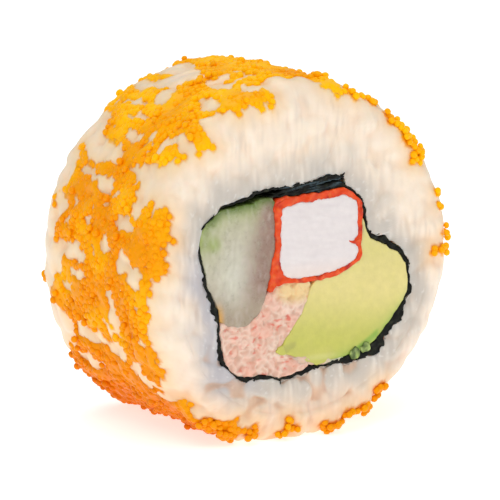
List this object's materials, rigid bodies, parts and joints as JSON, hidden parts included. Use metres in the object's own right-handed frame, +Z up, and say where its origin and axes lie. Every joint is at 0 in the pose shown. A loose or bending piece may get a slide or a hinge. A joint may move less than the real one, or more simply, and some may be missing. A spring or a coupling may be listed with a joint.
{
  "type": "california roll",
  "caption": "Thick slice of inside-out rice roll dusted with fish roe: rice round seaweed, cucumber, crab stick, avocado and crab salad, lying on its rolled side.",
  "frame": {"origin": "middle of the bounding box at the height of the surface that the piece rests on", "axes": "+Z up; +Y along the roll, from the cut face that the picture shows (at -Y) to the other cut face; +X to the right of someone who looks at the shown face"},
  "size_m": [0.0434, 0.0286, 0.0426],
  "materials": {
    "rice": "moist cooked rice with orange fish roe",
    "nori": "dark green-black seaweed sheet, softly glossy",
    "cucumber": "wet cut cucumber",
    "crab_stick": "white fibrous crab stick",
    "crab_stick_coat": "moist orange-red skin of the crab stick",
    "avocado": "ripe avocado flesh, waxy",
    "crab_salad": "moist shredded crab salad"
  },
  "bodies": {
    "root": {"rice": "rice", "nori": "nori", "cucumber": "cucumber", "crab_stick": "crab_stick", "crab_stick_coat": "crab_stick_coat", "avocado": "avocado", "crab_salad": "crab_salad"}
  },
  "joints": []
}
